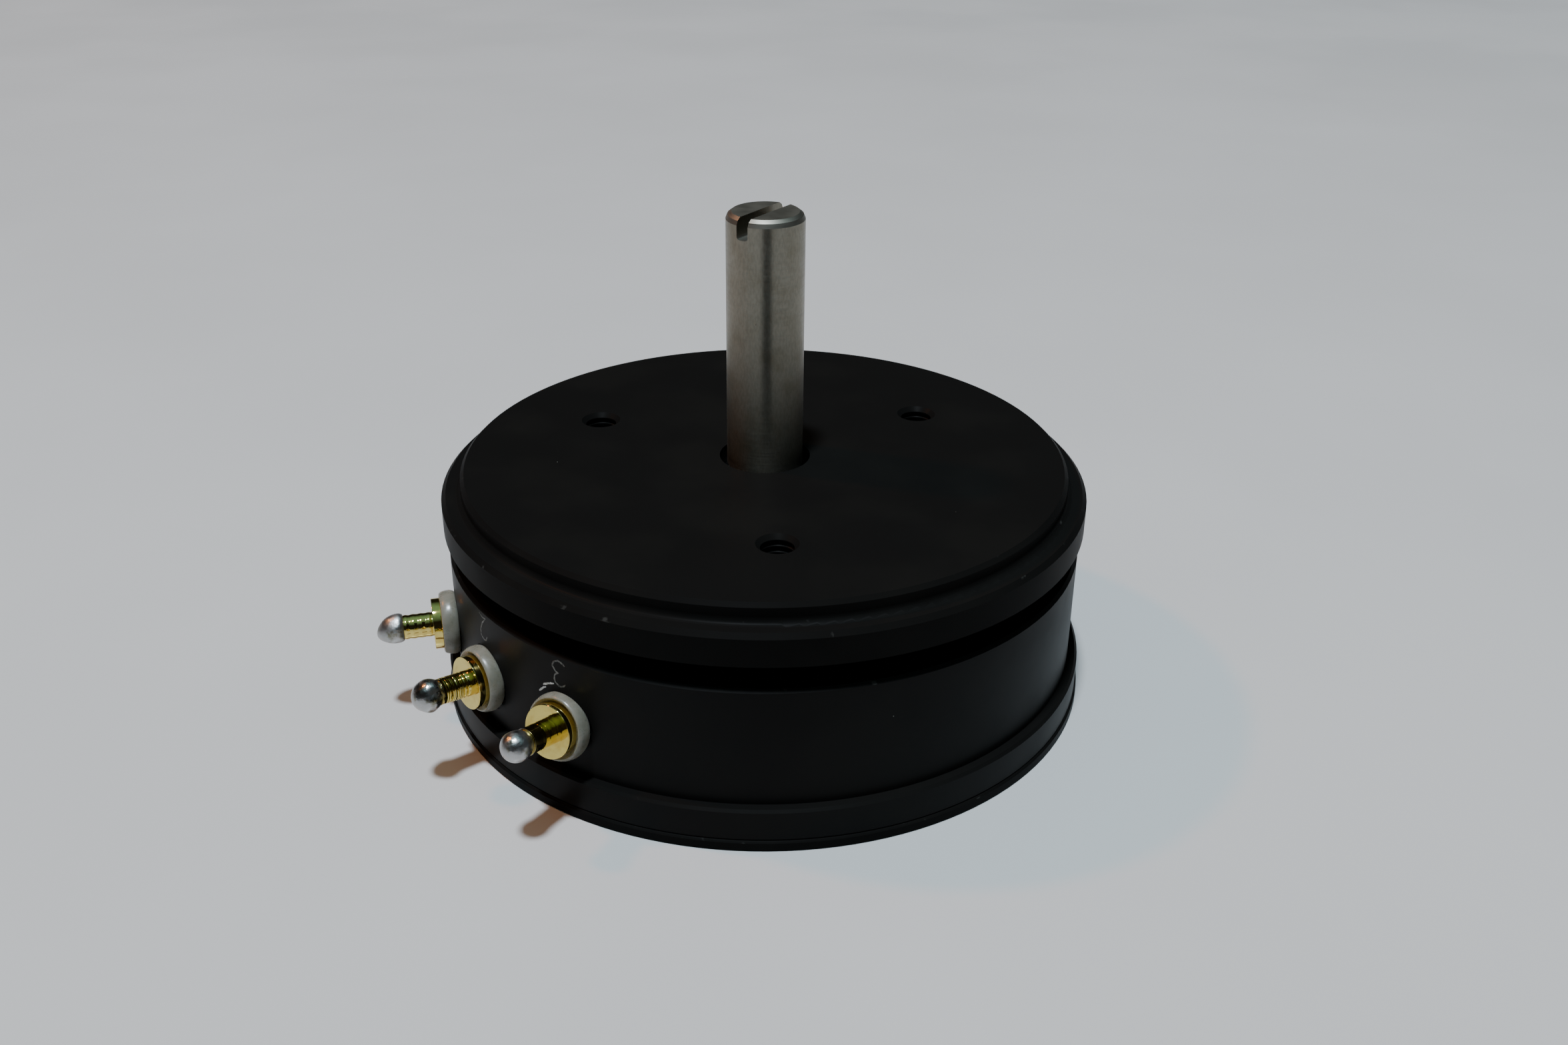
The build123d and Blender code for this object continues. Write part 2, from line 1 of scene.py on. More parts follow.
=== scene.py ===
"""Looks of the servo-mount rotary sensor: materials, terminals, marks, floor, lights and camera."""

import json
import math
import random

import bmesh
import bpy
from mathutils import Matrix, Vector, noise


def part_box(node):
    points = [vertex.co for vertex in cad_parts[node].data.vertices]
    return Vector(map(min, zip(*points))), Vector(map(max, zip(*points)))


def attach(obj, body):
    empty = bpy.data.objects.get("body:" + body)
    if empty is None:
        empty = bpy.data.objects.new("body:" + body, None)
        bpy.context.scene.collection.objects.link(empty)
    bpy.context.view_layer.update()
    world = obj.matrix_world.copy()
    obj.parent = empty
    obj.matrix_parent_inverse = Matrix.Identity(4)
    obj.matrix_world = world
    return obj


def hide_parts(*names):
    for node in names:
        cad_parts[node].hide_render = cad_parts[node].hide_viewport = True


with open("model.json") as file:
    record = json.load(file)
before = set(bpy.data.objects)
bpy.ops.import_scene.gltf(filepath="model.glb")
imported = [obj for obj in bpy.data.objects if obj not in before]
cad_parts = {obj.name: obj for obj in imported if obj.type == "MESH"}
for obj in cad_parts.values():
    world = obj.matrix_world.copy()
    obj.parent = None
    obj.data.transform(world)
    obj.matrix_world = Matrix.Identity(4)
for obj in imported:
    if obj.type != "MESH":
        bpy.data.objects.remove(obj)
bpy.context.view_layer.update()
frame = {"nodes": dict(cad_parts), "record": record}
nodes = frame["nodes"]
mounts = {mount["name"]: mount for mount in frame["record"]["mounts"]}

mm = 0.001

# ---------------------------------------------------------------- sizes read from the frame

band_bottom, band_top = (corner.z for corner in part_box("cover_ring"))
groove_half_width = 1.0 * mm
flange_underside = mounts["servo_groove"]["pos_m"][2] + groove_half_width


def wall_radius(node, low, high):
    """Largest distance from the shaft axis among a node's points between two heights."""
    points = [vertex.co for vertex in nodes[node].data.vertices]
    return max(math.hypot(p.x, p.y) for p in points if low < p.z < high)


housing_wall = wall_radius("front_housing", band_top - 0.1 * mm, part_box("terminal_2_turret")[1].z)


def surface_centre(node):
    """Centre of a node's surface, which lies on the axis of a turned piece."""
    centre, total = Vector(), 0.0
    for face in nodes[node].data.polygons:
        centre += face.center * face.area
        total += face.area
    return centre / total


# Depth of the recess in a bush that the seating disc lies in
bush_step = 0.18 * mm
# Points this near to an end or to the largest radius count as lying on it
close = 0.01 * mm


class Terminal:
    """Where one terminal lies and how large it is, measured on its CAD nodes."""

    def __init__(self, number):
        self.number = number
        self.origin = surface_centre(f"terminal_{number}_washer")
        self.axis = (surface_centre(f"terminal_{number}_solder") - self.origin).normalized()
        side = Vector((0, 0, 1)).cross(self.axis).normalized()
        up = self.axis.cross(side)
        self.place = Matrix.Translation(self.origin) @ Matrix((self.axis, side, up)).transposed().to_4x4()
        radial = Vector((self.origin.x, self.origin.y, 0))
        gap = housing_wall - radial.length
        self.seat = self.origin + self.axis * gap / self.axis.dot(radial.normalized())
        turret = self.points("turret")
        self.inner_end = min(turret)[0]
        self.neck_end = max(turret)[0]
        self.shank_radius = max(r for d, r in turret if d < self.inner_end + close)
        self.neck_radius = max(r for d, r in turret if d > self.neck_end - close)
        self.disc_radius = max(r for d, r in turret)
        disc = [d for d, r in turret if r > self.disc_radius - close]
        bush = self.points("insulator")
        self.bush_end = min(bush)[0]
        self.bush_face = max(bush)[0]
        self.barrel_radius = max(r for d, r in bush if d < self.bush_end + close)
        self.flange_radius = max(r for d, r in bush)
        self.flange_back = min(d for d, r in bush if r > self.flange_radius - close)
        self.disc_face = max(disc) + (min(disc) - self.bush_face)
        self.disc_back = self.bush_face - bush_step
        bead = self.points("solder")
        self.bead_end = max(bead)[0]
        self.bead_radius = max(r for d, r in bead)

    def points(self, part):
        """A part's vertices as (distance along the axis, radius about it)."""
        found = []
        for vertex in nodes[f"terminal_{self.number}_{part}"].data.vertices:
            offset = vertex.co - self.origin
            along = offset.dot(self.axis)
            found.append((along, (offset - along * self.axis).length))
        return found


terminals = [Terminal(number) for number in (1, 2, 3)]

# ---------------------------------------------------------------- material helpers


class Surface:
    """A material with one Principled shader, and short calls that add nodes to it."""

    def __init__(self, name, **fixed):
        self.material = bpy.data.materials.new(name)
        self.material.use_nodes = True
        self.tree = self.material.node_tree
        self.tree.nodes.clear()
        self.shader = self.add("ShaderNodeBsdfPrincipled")
        output = self.add("ShaderNodeOutputMaterial")
        self.tree.links.new(self.shader.outputs[0], output.inputs["Surface"])
        coordinates = self.add("ShaderNodeTexCoord")
        self.place = coordinates.outputs["Object"]
        self.normal = coordinates.outputs["Normal"]
        for socket, value in fixed.items():
            self.set(socket.replace("_", " ").title().replace("Ior", "IOR"), value)

    def add(self, kind, inputs=None, **settings):
        node = self.tree.nodes.new(kind)
        for name, value in settings.items():
            setattr(node, name, value)
        for name, value in (inputs or {}).items():
            if isinstance(value, bpy.types.NodeSocket):
                self.tree.links.new(value, node.inputs[name])
            else:
                node.inputs[name].default_value = value
        return node

    def set(self, socket, value):
        """Gives one of the shader's inputs a fixed value or a link."""
        if isinstance(value, bpy.types.NodeSocket):
            self.tree.links.new(value, self.shader.inputs[socket])
        else:
            self.shader.inputs[socket].default_value = value

    def maths(self, operation, first, second=0.0):
        return self.add("ShaderNodeMath", {0: first, 1: second}, operation=operation).outputs[0]

    def parts(self, vector=None):
        """The X, Y and Z of a vector, by default of the place on the object."""
        node = self.add("ShaderNodeSeparateXYZ", {0: vector or self.place})
        return node.outputs[0], node.outputs[1], node.outputs[2]

    def length(self, first, second):
        """The length of a vector with two given parts."""
        squares = (self.maths("MULTIPLY", part, part) for part in (first, second))
        return self.maths("SQRT", self.maths("ADD", *squares))

    def stretched(self, x, y, z):
        """The place on the object, scaled by a factor along each axis."""
        return self.add("ShaderNodeMapping", {"Vector": self.place, "Scale": (x, y, z)}).outputs[0]

    def noise(self, size, detail=3.0, vector=None):
        """Noise between about 0.3 and 0.7, with features of a given size in metres."""
        inputs = {"Vector": vector or self.place, "Scale": 1 / size, "Detail": detail}
        return self.add("ShaderNodeTexNoise", inputs).outputs[0]

    def between(self, value, start, end, low, high):
        """Maps start..end onto low..high, with a soft step and no overshoot."""
        names = {"Value": value, "From Min": start, "From Max": end, "To Min": low, "To Max": high}
        return self.add("ShaderNodeMapRange", names, interpolation_type="SMOOTHSTEP").outputs[0]

    def mix(self, share, first, second):
        """A colour between two colours."""
        node = self.add("ShaderNodeMix", {0: share}, data_type="RGBA")
        for index, colour in ((6, first), (7, second)):
            if isinstance(colour, bpy.types.NodeSocket):
                self.tree.links.new(colour, node.inputs[index])
            else:
                node.inputs[index].default_value = (*colour, 1)
        return node.outputs[2]

    def specks(self, spacing, radius, share):
        """1 inside scattered round specks: a share of the cells of a spacing hold one."""
        cells = self.add("ShaderNodeTexVoronoi", {"Vector": self.place, "Scale": 1 / spacing})
        near = self.between(cells.outputs["Distance"], 0.5 * radius / spacing, radius / spacing, 1, 0)
        pick = self.add("ShaderNodeSeparateColor", {0: cells.outputs["Color"]}).outputs[0]
        return self.maths("MULTIPLY", near, self.maths("LESS_THAN", pick, share))

    def bump(self, height, depth, under=None):
        """Relief of a given depth in metres, over an optional earlier relief."""
        inputs = {"Height": height, "Distance": depth}
        if under:
            inputs["Normal"] = under
        return self.add("ShaderNodeBump", inputs).outputs[0]


def varied(name, dark, light, size, rough, relief, grain, **fixed):
    """A material with mottled colour, uneven gloss and a fine grain."""
    surface = Surface(name, **fixed)
    blotches = surface.noise(size)
    surface.set("Base Color", surface.mix(surface.between(blotches, 0.35, 0.65, 0, 1), dark, light))
    surface.set("Roughness", surface.between(surface.noise(1.7 * size), 0.35, 0.65, *rough))
    surface.set("Normal", surface.bump(surface.noise(grain), relief))
    return surface


# ---------------------------------------------------------------- materials


def black_anodised():
    """Satin black anodised aluminium: fine grain, turning rings, smudges, dust and worn chamfers.

    The flange's edge and the rear lip are duller than the rest.
    """
    surface = Surface("black_anodised")
    smudge = surface.between(surface.noise(9 * mm, 4), 0.42, 0.68, 0, 1)
    black = surface.mix(smudge, (0.0063, 0.0060, 0.0056), (0.0077, 0.0073, 0.0066))
    slope = surface.maths("ABSOLUTE", surface.parts(surface.normal)[2])
    steep, shallow = surface.between(slope, 0.45, 0.62, 0, 1), surface.between(slope, 0.8, 0.92, 1, 0)
    wear = surface.between(surface.noise(1.1 * mm, 6), 0.66, 0.74, 0, 0.5)
    worn = surface.maths("MULTIPLY", surface.maths("MULTIPLY", steep, shallow), wear)
    colour = surface.mix(worn, black, (0.055, 0.054, 0.05))
    dust = surface.specks(1.5 * mm, 0.05 * mm, 0.05)
    colour = surface.mix(dust, colour, (0.22, 0.21, 0.19))
    rust = surface.specks(2.3 * mm, 0.07 * mm, 0.03)
    colour = surface.mix(rust, colour, (0.16, 0.07, 0.02))
    surface.set("Base Color", colour)
    gloss = surface.between(surface.noise(5 * mm, 5), 0.35, 0.7, 0.38, 0.44)
    surface.set("Roughness", gloss)
    x, y, z = surface.parts()
    flange = surface.between(z, flange_underside - 0.3 * mm, flange_underside, 0, 1)
    edge = surface.maths("MULTIPLY", flange, surface.between(slope, 0.93, 0.97, 1, 0))
    lip = surface.between(z, band_bottom - 0.1 * mm, band_bottom, 1, 0)
    shine, least_share = 0.055, 0.018 / 0.055
    share = surface.between(surface.maths("MAXIMUM", edge, lip), 0, 1, 1, least_share)
    surface.set("Specular IOR Level", surface.maths("MULTIPLY", share, shine))
    radius = surface.length(x, y)
    rings = surface.add("ShaderNodeCombineXYZ", {0: radius, 2: z}).outputs[0]
    turned = surface.bump(surface.noise(0.12 * mm, 2, rings), 0.0006 * mm)
    surface.set("Normal", surface.bump(surface.noise(0.07 * mm, 2), 0.0012 * mm, turned))
    return surface.material


def ground_steel():
    """Ground stainless steel: fine lines around the shaft, streaks, faint stains and small dark marks.

    The end and its broken edge are cut and not ground, so they are duller and have no lines.
    """
    surface = Surface("stainless_steel", metallic=1.0, anisotropic_rotation=0.25)
    stain = surface.between(surface.noise(2.2 * mm, 5), 0.45, 0.72, 0, 1)
    steel = surface.mix(stain, (0.29, 0.27, 0.22), (0.245, 0.222, 0.17))
    marks = surface.specks(0.9 * mm, 0.05 * mm, 0.05)
    steel = surface.mix(marks, steel, (0.10, 0.08, 0.06))
    face_normal = surface.add("ShaderNodeNewGeometry").outputs["True Normal"]
    slope = surface.maths("ABSOLUTE", surface.parts(face_normal)[2])
    cut = surface.between(slope, 0.1, 0.3, 0, 1)
    streaks = surface.noise(0.14 * mm, 4, surface.stretched(1, 1, 0.35))
    steel = surface.mix(surface.between(streaks, 0.35, 0.65, 0, 0.25), steel, (0.13, 0.117, 0.088))
    surface.set("Base Color", surface.mix(cut, steel, (0.25, 0.235, 0.20)))
    surface.set("Anisotropic", surface.between(cut, 0, 1, 0.62, 0))
    lines = surface.noise(0.5 * mm, 4, surface.stretched(0.25, 0.25, 10))
    ground = surface.between(lines, 0.3, 0.7, 0.33, 0.41)
    surface.set("Roughness", surface.maths("ADD", ground, surface.maths("MULTIPLY", cut, 0.10)))
    tangent = surface.add("ShaderNodeTangent", direction_type="RADIAL", axis="Z").outputs[0]
    surface.set("Tangent", tangent)
    flat = surface.maths("GREATER_THAN", slope, 0.97)
    grain = surface.bump(surface.noise(0.12 * mm, 3), 0.004 * mm, face_normal)
    relief = {0: flat, 4: surface.bump(lines, 0.0009 * mm), 5: grain}
    surface.set("Normal", surface.add("ShaderNodeMix", relief, data_type="VECTOR").outputs[1])
    return surface.material


def gold_plate():
    """Gold plate over turned brass: tool rings about the local X axis, duller and browner in places."""
    surface = Surface("gold_plate", metallic=1.0)
    x, y, z = surface.parts()
    along = surface.add("ShaderNodeCombineXYZ", {0: x, 1: surface.length(y, z)}).outputs[0]
    rings = surface.noise(0.16 * mm, 3, along)
    patch = surface.between(surface.noise(0.9 * mm, 4), 0.4, 0.7, 0, 1)
    gold = surface.mix(patch, (0.77, 0.63, 0.20), (0.67, 0.51, 0.14))
    brown = surface.between(rings, 0.58, 0.78, 0, 0.3)
    surface.set("Base Color", surface.mix(brown, gold, (0.40, 0.26, 0.07)))
    surface.set("Roughness", surface.between(surface.noise(0.6 * mm, 3), 0.35, 0.65, 0.05, 0.10))
    surface.set("Normal", surface.bump(rings, 0.0006 * mm))
    return surface.material


def tin_solder(name, dull):
    """Tinned surface of a given least roughness: grey metal, small dimples and flux stains."""
    surface = Surface(name, metallic=1.0)
    flux = surface.between(surface.noise(0.8 * mm, 5), 0.52, 0.70, 0, 1)
    surface.set("Base Color", surface.mix(flux, (0.46, 0.46, 0.455), (0.22, 0.21, 0.15)))
    surface.set("Roughness", surface.between(surface.noise(0.7 * mm, 4), 0.35, 0.65, dull, dull + 0.12))
    surface.set("Normal", surface.bump(surface.noise(0.3 * mm, 3), 0.03 * mm))
    return surface.material


def nylon(name="white_insulator", recess_shade_radius=2.5 * mm):
    """Translucent white nylon, with painted brownish shade on the slope down to the metal that it holds.
    """
    fixed = {"subsurface_weight": 0.55, "subsurface_radius": (1.0, 0.8, 0.6), "subsurface_scale": 0.8 * mm}
    surface = Surface(name, specular_ior_level=0.5, **fixed)
    x, y, z = surface.parts()
    clouds = surface.between(surface.noise(1.1 * mm, 4), 0.4, 0.7, 0, 1)
    white = surface.mix(clouds, (0.205, 0.198, 0.162), (0.155, 0.149, 0.115))
    # Painted brownish shade within a radius about the axis: the slope down to the seating disc
    recess_shade = surface.between(surface.length(y, z), recess_shade_radius - 0.2 * mm, recess_shade_radius, 0.85, 0)
    colour = surface.mix(recess_shade, white, (0.18, 0.152, 0.09))
    dirt = surface.specks(0.5 * mm, 0.035 * mm, 0.06)
    surface.set("Base Color", surface.mix(dirt, colour, (0.16, 0.15, 0.14)))
    surface.set("Roughness", surface.between(surface.noise(0.8 * mm, 3), 0.35, 0.65, 0.24, 0.42))
    surface.set("Normal", surface.bump(surface.noise(0.4 * mm, 3), 0.006 * mm))
    return surface.material


# Looks of the pieces inside the case, by slot: dark and light colour, size of the blotches in mm,
# range of roughness, depth and size of the grain in mm, and how metallic it is
inner_looks = {
    "bearing_steel": ((0.55, 0.55, 0.56), (0.70, 0.70, 0.71), 2.0, (0.08, 0.18), 0.001, 0.2, 1.0),
    "spring_steel": ((0.22, 0.23, 0.25), (0.36, 0.36, 0.37), 1.5, (0.25, 0.4), 0.002, 0.2, 1.0),
    "dark_steel": ((0.015, 0.015, 0.017), (0.035, 0.034, 0.033), 1.0, (0.35, 0.5), 0.003, 0.15, 0.6),
    "machined_brass": ((0.60, 0.42, 0.16), (0.75, 0.56, 0.26), 1.5, (0.2, 0.35), 0.002, 0.2, 1.0),
    "contact_alloy": ((0.62, 0.45, 0.25), (0.76, 0.58, 0.34), 1.0, (0.2, 0.35), 0.002, 0.15, 1.0),
    "moulded_plastic": ((0.02, 0.025, 0.02), (0.05, 0.055, 0.048), 1.2, (0.45, 0.6), 0.01, 0.12, 0.0),
    "element_board": ((0.08, 0.14, 0.07), (0.14, 0.21, 0.11), 1.5, (0.35, 0.5), 0.006, 0.25, 0.0),
    "resistive_ink": ((0.012, 0.012, 0.012), (0.025, 0.025, 0.024), 1.0, (0.25, 0.4), 0.002, 0.1, 0.0),
    "silver_ink": ((0.50, 0.50, 0.48), (0.66, 0.65, 0.62), 0.8, (0.35, 0.5), 0.004, 0.08, 1.0),
    "seal_rubber": ((0.010, 0.010, 0.010), (0.020, 0.020, 0.019), 1.0, (0.55, 0.7), 0.006, 0.1, 0.0),
}


def inner_slots():
    """Materials of the pieces inside the case, by slot."""
    made = {}
    for slot, (dark, light, size, rough, relief, grain, metallic) in inner_looks.items():
        sizes = {"size": size * mm, "relief": relief * mm, "grain": grain * mm}
        made[slot] = varied(slot, dark, light, rough=rough, metallic=metallic, **sizes).material
    return made


def bare_metal(name, dark, light, size, rough, **fixed):
    """Uneven aluminium, bared by a scratch through the anodising; in its bright form it also carries
    painted glints.
    """
    return varied(name, dark, light, size, rough, 0.02 * mm, 0.06 * mm, **fixed).material


finishes = inner_slots()
finishes["black_anodised"] = black_anodised()
finishes["stainless_steel"] = ground_steel()
finishes["gold_plate"] = gold_plate()
finishes["solder"] = tin_solder("solder", 0.22)
finishes["white_insulator"] = nylon()

for subpart in frame["record"]["subparts"]:
    for material_slot in nodes[subpart["node"]].material_slots:
        material_slot.material = finishes[subpart["material_slot"]]

# ---------------------------------------------------------------- mesh helpers


def soften(points, reach, steps=4):
    """An outline with each inner corner replaced by a small curve."""
    smooth = [Vector(points[0])]
    for before, corner, after in zip(points, points[1:], points[2:]):
        before, corner, after = Vector(before), Vector(corner), Vector(after)
        back, ahead = before - corner, after - corner
        start = corner + back.normalized() * min(reach, 0.45 * back.length)
        end = corner + ahead.normalized() * min(reach, 0.45 * ahead.length)
        for step in range(steps + 1):
            t = step / steps
            smooth.append((1 - t) ** 2 * start + 2 * t * (1 - t) * corner + t * t * end)
    smooth.append(Vector(points[-1]))
    return smooth


def lathe(outline, around=120):
    """A closed mesh turned about the X axis from (distance, radius) points that start and end on it."""
    mesh = bmesh.new()
    rings = []
    for distance, radius in outline:
        if radius < 0.0001 * mm:
            rings.append([mesh.verts.new((distance, 0, 0))])
            continue
        turns = [2 * math.pi * k / around for k in range(around)]
        circle = [(distance, radius * math.cos(turn), radius * math.sin(turn)) for turn in turns]
        rings.append([mesh.verts.new(point) for point in circle])
    for ring, following in zip(rings, rings[1:]):
        for k in range(around):
            a, b = ring[k % len(ring)], ring[(k + 1) % len(ring)]
            c, d = following[(k + 1) % len(following)], following[k % len(following)]
            corners = list(dict.fromkeys((a, b, c, d)))
            if len(corners) > 2:
                mesh.faces.new(corners)
    return mesh


def piece(name, mesh, material, body="root", place=None):
    """A finished, smooth-shaded object that rides on a body."""
    bmesh.ops.recalc_face_normals(mesh, faces=mesh.faces)
    data = bpy.data.meshes.new(name)
    mesh.to_mesh(data)
    mesh.free()
    data.shade_smooth()
    data.set_sharp_from_angle(angle=math.radians(40))
    data.materials.append(material)
    made = bpy.data.objects.new(name, data)
    bpy.context.scene.collection.objects.link(made)
    if place:
        made.matrix_world = place
    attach(made, body)
    return made


# ---------------------------------------------------------------- terminals


def fine_rings(start, end, radius, rng):
    """Many narrow, uneven tool grooves along a neck."""
    points = []
    at = start + 0.25 * mm
    while at < end - 0.3 * mm:
        width = rng.uniform(0.07, 0.13) * mm
        depth = rng.uniform(0.03, 0.07) * mm
        points += [(at, radius), (at + 0.4 * width, radius - depth), (at + width, radius)]
        at += width + rng.uniform(0.02, 0.09) * mm
    return points


def shallow_waves(start, end, radius, rng, count=4, depth=0.045 * mm):
    """A few broad, uneven ridges along a neck."""
    points = []
    steps = 16 * count
    depths = [rng.uniform(0.5, 1) * depth for ridge in range(count)]
    for step in range(1, steps):
        share = step / steps
        valley = 0.5 + 0.5 * math.cos(2 * math.pi * count * share)
        points.append((start + share * (end - start), radius - depths[int(count * share)] * valley))
    return points


def faint_waves(start, end, radius, rng):
    """Three very shallow ridges along a neck."""
    return shallow_waves(start, end, radius, rng, 3, 0.02 * mm)


def turret(terminal, neck, material):
    """A turned post: shank, seating disc with rounded edges, and a neck with its tool marks."""
    t = terminal
    rng = random.Random(40 + t.number)
    dish = 0.04 * mm
    outline = [(t.inner_end, 0), (t.inner_end, t.shank_radius), (t.disc_back, t.shank_radius)]
    outline += [(t.disc_back, t.disc_radius), (t.disc_face, t.disc_radius)]
    outline += [(t.disc_face - dish, 0.62 * t.disc_radius), (t.disc_face - dish, t.neck_radius)]
    smooth = soften(outline, 0.05 * mm) + neck(t.disc_face, t.neck_end, t.neck_radius, rng)
    smooth += [(t.neck_end, t.neck_radius), (t.neck_end, 0)]
    made = piece(f"terminal_{t.number}_post", lathe(smooth), material, place=t.place)
    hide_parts(f"terminal_{t.number}_turret")


def bead(terminal, widest, point, bluntness, lumps, droop, material):
    """A tinned head: widest at a share of its length, drawn out to a point, lumpy and drooping."""
    t = terminal
    overlap, full = 0.1 * mm, 0.95 * t.bead_radius
    start, length = t.neck_end - overlap, t.bead_end - t.neck_end + 0.5 * overlap
    # Share of the length that the rounded back would go on for, if the neck didn't end it
    neck_share = 0.22
    outline = [(start, 0), (start, t.neck_radius + 0.01 * mm)]
    rows = 40
    for row in range(rows + 1):
        share = 0.5 - 0.5 * math.cos(math.pi * row / rows)
        if share < widest:
            radius = full * math.sqrt(1 - ((widest - share) / (widest + neck_share)) ** 2)
        else:
            radius = full * (1 - ((share - widest) / (1 - widest)) ** point) ** (1 / bluntness)
        outline.append((start + 0.02 * mm + share * length, radius))
    mesh = lathe(outline, 96)
    for vertex in mesh.verts:
        lump = 1 + lumps * noise.noise(vertex.co / (0.9 * mm) + Vector((7 * t.number, 0, 0)))
        share = max(0, (vertex.co.x - start) / length)
        vertex.co.y *= lump
        vertex.co.z = vertex.co.z * lump - droop * share**3
    made = piece(f"terminal_{t.number}_bead", mesh, material, place=t.place)
    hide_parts(f"terminal_{t.number}_solder")


def bush(terminal, material):
    """A flanged nylon bush: rounded rim, and a shallow step around the seating disc."""
    t = terminal
    # The rim is highest at the crest's radius and broadest at a distance along the axis, and
    # behind that it curves in to the waist
    crest, widest = t.disc_radius + 0.26 * mm, t.bush_face - 0.75 * mm
    back_reach, waist = 0.55 * mm, t.flange_radius - 0.4 * mm
    outline = [(t.bush_end, 0), (t.bush_end, t.barrel_radius), (t.flange_back, t.barrel_radius)]
    for step in range(12):
        angle = math.pi / 2 * (1 - step / 12)
        radius = waist + (t.flange_radius - waist) * math.cos(angle)
        outline.append((widest - back_reach * math.sin(angle), radius))
    for step in range(17):
        angle = math.pi / 2 * step / 16
        radius = crest + (t.flange_radius - crest) * math.cos(angle)
        outline.append((widest + (t.bush_face - widest) * math.sin(angle), radius))
    floor = t.bush_face - bush_step
    outline += [(floor + 0.02 * mm, t.disc_radius + 0.06 * mm), (floor, t.disc_radius), (floor, 0)]
    mesh = lathe(outline)
    for vertex in mesh.verts:
        swell = 1 + 0.012 * noise.noise(vertex.co / (1.6 * mm) + Vector((0, 5 * t.number, 0)))
        vertex.co.y *= swell
        vertex.co.z *= swell
    made = piece(f"terminal_{t.number}_bush", mesh, material, place=t.place)
    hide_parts(f"terminal_{t.number}_insulator")


bush_material = nylon("white_nylon_bush", terminals[0].disc_radius + 0.3 * mm)
neck_styles = (shallow_waves, fine_rings, faint_waves)
bead_styles = (
    {"widest": 0.2, "point": 1.8, "bluntness": 1.9, "lumps": 0.06, "droop": 0.3 * mm, "dull": 0.36},
    {"widest": 0.42, "point": 1.6, "bluntness": 2.1, "lumps": 0.15, "droop": 0.1 * mm, "dull": 0.2},
    {"widest": 0.46, "point": 2.0, "bluntness": 2.0, "lumps": 0.02, "droop": 0, "dull": 0.27},
)
for terminal, neck_style, style in zip(terminals, neck_styles, bead_styles):
    turret(terminal, neck_style, finishes["gold_plate"])
    solder = tin_solder(f"solder_{terminal.number}", style.pop("dull"))
    bead(terminal, material=solder, **style)
    bush(terminal, bush_material)

# ---------------------------------------------------------------- scratched marks and glinting chips


def stroke(mesh, points, width, rng):
    """Adds a shallow ridge of uneven width along points on the wall, given as (azimuth, height)."""
    proud, sunk = 0.012 * mm, 0.03 * mm
    rows = []
    for index, (azimuth, height) in enumerate(points):
        before, after = points[max(index - 1, 0)], points[min(index + 1, len(points) - 1)]
        along = Vector(((after[0] - before[0]) * housing_wall, after[1] - before[1])).normalized()
        end = index in (0, len(points) - 1)
        half = width * (0.25 if end else rng.uniform(0.35, 0.6))
        row = []
        for side, depth in ((-1, -sunk), (-1, 0.3 * proud), (0, proud), (1, 0.3 * proud), (1, -sunk)):
            angle = azimuth - side * half * along.y / housing_wall
            z = height + side * half * along.x
            radius = housing_wall + depth
            row.append(mesh.verts.new((radius * math.cos(angle), radius * math.sin(angle), z)))
        rows.append(row)
    for row, following in zip(rows, rows[1:]):
        for k in range(len(row)):
            nxt = (k + 1) % len(row)
            mesh.faces.new((row[k], row[nxt], following[nxt], following[k]))
    mesh.faces.new(rows[0])
    mesh.faces.new(list(reversed(rows[-1])))


def arc(centre, radius, start, end, steps=10):
    """Points along an arc of a circle, with angles in degrees."""
    found = []
    for step in range(steps + 1):
        angle = math.radians(start + (end - start) * step / steps)
        found.append((centre[0] + radius[0] * math.cos(angle), centre[1] + radius[1] * math.sin(angle)))
    return found


# Strokes of each digit, upright in a box 1 high; they are scratched upside down
upper_two = arc((0.0, 0.74), (0.24, 0.26), 170, -30)
upper_three = arc((0.0, 0.74), (0.25, 0.26), 150, -80)
lower_three = arc((0.0, 0.25), (0.29, 0.25), 75, -150)
digit_strokes = {
    1: [[(-0.16, 0.78), (0.0, 1.0), (0.02, 0.5), (0.0, 0.0)]],
    2: [upper_two + [(0.02, 0.3), (-0.24, 0.04)], [(-0.24, 0.04), (0.0, 0.09), (0.24, 0.0)]],
    3: [upper_three, lower_three],
}


def digit(number, azimuth, middle, height, rng):
    """One scratched digit on the wall."""
    mesh = bmesh.new()
    for line in digit_strokes[number]:
        points = []
        for x, y in line:
            shake = rng.uniform(-0.02, 0.02)
            turn = (x + shake) * height / housing_wall
            points.append((azimuth - turn, middle - (y + shake - 0.5) * height))
        stroke(mesh, points, 0.13 * mm, rng)
    made = piece(f"scratched_digit_{number}", mesh, scratched)


def chipped_edge_glints(terminal, glinting_chips, rng):
    """Bright chips around a terminal at the edge of its recess: bared metal whose colour also holds
    painted glints. Arcs of a radius, between angles in degrees seen from outside.
    """
    azimuth = math.atan2(terminal.seat.y, terminal.seat.x)
    for count, (radius, start, end) in enumerate(glinting_chips):
        mesh = bmesh.new()
        curve = arc((0, terminal.seat.z), (radius, radius), start, end)
        points = [(azimuth + x / housing_wall, z + rng.uniform(-0.02, 0.02) * mm) for x, z in curve]
        stroke(mesh, points, 0.14 * mm, rng)
        made = piece(f"chipped_edge_glints_{count}", mesh, bright_chip)


